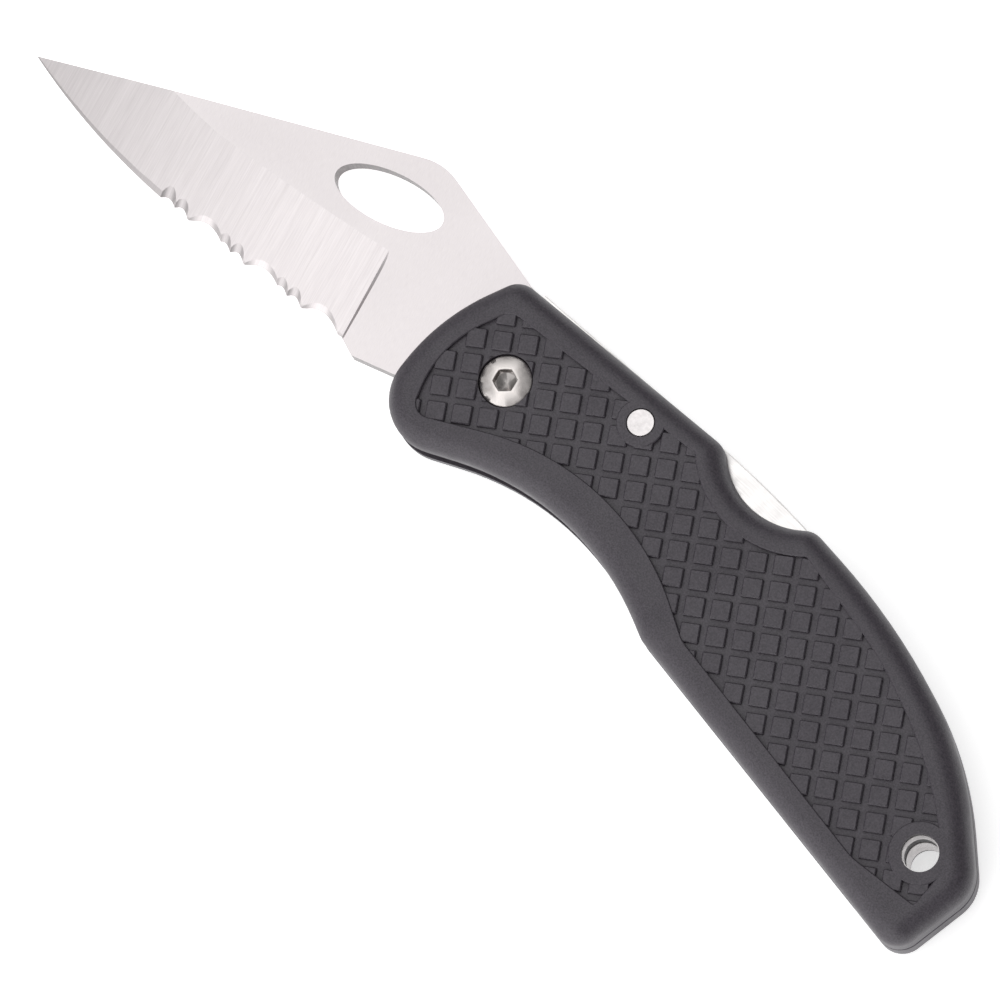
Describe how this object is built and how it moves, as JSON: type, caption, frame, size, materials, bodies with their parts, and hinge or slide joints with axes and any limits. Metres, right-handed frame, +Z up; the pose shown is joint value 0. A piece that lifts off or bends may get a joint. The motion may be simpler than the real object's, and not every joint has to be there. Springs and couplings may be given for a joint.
{
  "type": "folding rigging knife",
  "caption": "Folding lock-back rigging knife, open: part-serrated blade with a thumb hole, checkered moulded handle, spine lock bar and lanyard hole.",
  "frame": {"origin": "middle of the underside, on the surface the knife lies on", "axes": "+X along the open knife from blade tip to butt, +Y towards the spine side, +Z up through the handle's thickness, along the pivot's axis"},
  "size_m": [0.1816, 0.0364, 0.011],
  "materials": {
    "handle_plastic": "fine-grained black glass-filled nylon",
    "blade_steel": "satin stainless, ground bevels",
    "bar_steel": "satin stainless",
    "pivot_steel": "polished stainless",
    "pin_steel": "turned and polished stainless",
    "spring_steel": "hardened spring steel",
    "washer_bronze": "rolled phosphor bronze"
  },
  "bodies": {
    "handle": {"near_handle_half": "handle_plastic", "far_handle_half": "handle_plastic", "lock_spring": "spring_steel", "lock_bar_pin": "pin_steel", "pivot_screw": "pivot_steel", "pivot_barrel_nut": "pivot_steel", "near_pivot_washer": "washer_bronze", "far_pivot_washer": "washer_bronze", "lanyard_tube": "pin_steel", "rear_dowels": "spring_steel"},
    "blade": {"blade": "blade_steel"},
    "lock_bar": {"lock_bar": "bar_steel"}
  },
  "joints": [
    {"name": "blade_pivot", "type": "hinge", "parent": "handle", "child": "blade", "pos_m": [-0.00551, 0.00202, 0.0055], "axis": [0, 0, 1], "range_deg": [0, 161.5]},
    {"name": "lock_release", "type": "hinge", "parent": "handle", "child": "lock_bar", "pos_m": [0.01278, 0.01041, 0.0055], "axis": [0, 0, -1], "range_deg": [-2.5, 5], "stiffness_Nm_per_rad": 0.3, "springref_deg": -4.58, "deforming": ["lock_spring"]}
  ]
}
